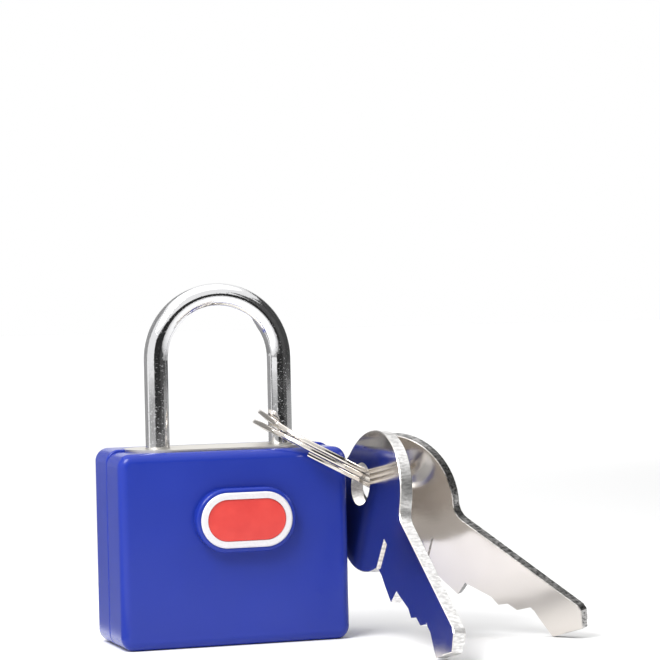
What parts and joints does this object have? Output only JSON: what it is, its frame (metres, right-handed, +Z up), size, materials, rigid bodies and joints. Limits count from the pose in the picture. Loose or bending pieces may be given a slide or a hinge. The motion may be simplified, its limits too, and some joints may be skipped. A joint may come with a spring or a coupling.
{
  "type": "padlock",
  "caption": "Small cylinder padlock with blue plastic shells, sprung steel shackle, badge, and a split ring with flat keys on one leg",
  "frame": {"origin": "middle of the lock body's flat bottom face", "axes": "+X to the right seen from the badge side, +Y to the back, +Z up along the shackle legs"},
  "size_m": [0.057, 0.0443, 0.0459],
  "materials": {
    "blue_plastic": "satin injection-moulded, deep blue",
    "silver": "bright silver rim",
    "red_enamel": "smooth red enamel",
    "case_metal": "satin nickel on die-cast zinc",
    "plate_steel": "plain stamped steel",
    "spring_steel": "bright spring wire",
    "brass": "machined brass",
    "chrome": "polished chrome",
    "nickel_wire": "polished nickel wire with rolled bevels",
    "nickel_key": "polished nickel faces with milled edges"
  },
  "bodies": {
    "case": {"front_cover": "blue_plastic", "rear_cover": "blue_plastic", "badge_rim": "silver", "badge_inlay": "red_enamel", "lock_case": "case_metal", "case_plate": "plate_steel", "case_rivets": "plate_steel", "shackle_pin": "plate_steel", "shackle_spring": "spring_steel", "latch_spring": "spring_steel"},
    "plug": {"plug": "brass", "cam": "plate_steel", "cam_pins": "plate_steel", "wafer_springs": "spring_steel"},
    "wafer_1": {"wafer_1": "brass"},
    "wafer_2": {"wafer_2": "brass"},
    "wafer_3": {"wafer_3": "brass"},
    "wafer_4": {"wafer_4": "brass"},
    "wafer_5": {"wafer_5": "brass"},
    "latch": {"latch_bolt": "plate_steel"},
    "shackle": {"shackle": "chrome"},
    "ring": {"split_ring": "nickel_wire"},
    "key_1": {"key_1": "nickel_key"},
    "key_2": {"key_2": "nickel_key"}
  },
  "joints": [
    {"name": "plug_turn", "type": "hinge", "parent": "case", "child": "plug", "pos_m": [0, 0, 0.008], "axis": [0, 0, 1], "range_deg": [0, 90]},
    {"name": "latch_slide", "type": "slide", "parent": "case", "child": "latch", "axis": [1, 0, 0], "range_m": [0, 0.003], "deforming": ["latch_spring"]},
    {"name": "shackle_lift", "type": "slide", "parent": "case", "child": "shackle", "axis": [0, 0, 1], "range_m": [0, 0.0073], "deforming": ["shackle_spring"]},
    {"name": "wafer_1_slide", "type": "slide", "parent": "plug", "child": "wafer_1", "axis": [0, -1, 0], "range_m": [-0.0005, 0]},
    {"name": "wafer_2_slide", "type": "slide", "parent": "plug", "child": "wafer_2", "axis": [0, -1, 0], "range_m": [-0.0005, 0]},
    {"name": "wafer_3_slide", "type": "slide", "parent": "plug", "child": "wafer_3", "axis": [0, -1, 0], "range_m": [-0.0005, 0]},
    {"name": "wafer_4_slide", "type": "slide", "parent": "plug", "child": "wafer_4", "axis": [0, -1, 0], "range_m": [-0.0005, 0]},
    {"name": "wafer_5_slide", "type": "slide", "parent": "plug", "child": "wafer_5", "axis": [0, -1, 0], "range_m": [-0.0005, 0]},
    {"name": "ring_swivel", "type": "hinge", "parent": "shackle", "child": "ring", "pos_m": [0.0082, 0, 0.027], "axis": [0, 0, 1], "range_deg": [0, 20]},
    {"name": "key_1_swing", "type": "hinge", "parent": "ring", "child": "key_1", "pos_m": [0.01665, -0.00704, 0.01976], "axis": [-0.9873, -0.117, 0.107], "range_deg": [0, 40]},
    {"name": "key_2_swing", "type": "hinge", "parent": "ring", "child": "key_2", "pos_m": [0.02058, -0.00079, 0.01864], "axis": [-0.7598, -0.6368, -0.131], "range_deg": [0, 40]}
  ],
  "couplings": [
    {"joint": "plug_turn", "follows": "shackle_lift", "rad_per_m": 215.18},
    {"joint": "latch_slide", "follows": "shackle_lift", "ratio": 0.41096}
  ]
}
